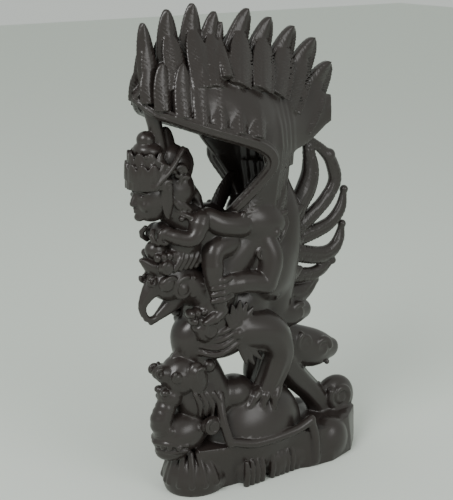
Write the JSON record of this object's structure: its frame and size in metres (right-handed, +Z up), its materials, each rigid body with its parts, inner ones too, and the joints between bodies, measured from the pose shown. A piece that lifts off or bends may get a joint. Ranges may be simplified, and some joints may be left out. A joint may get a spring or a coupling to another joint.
{
  "type": "vishnu on garuda figure",
  "caption": "Carved hardwood figure of a crowned god riding a winged bird-headed carrier on a tortoise and serpent base, with a tall feather hood and a pierced tail fan.",
  "frame": {"origin": "middle of the flat underside of the base, under the tortoise's shell", "axes": "+Z up along the figure's height, -Y the way the figure faces, +X its left side"},
  "size_m": [0.0634, 0.1738, 0.297],
  "materials": {
    "stained_wood": "polished near-black stain with reddish-brown wear on the high spots"
  },
  "bodies": {
    "root": {"vishnu_on_garuda_carving": "stained_wood"}
  },
  "joints": []
}
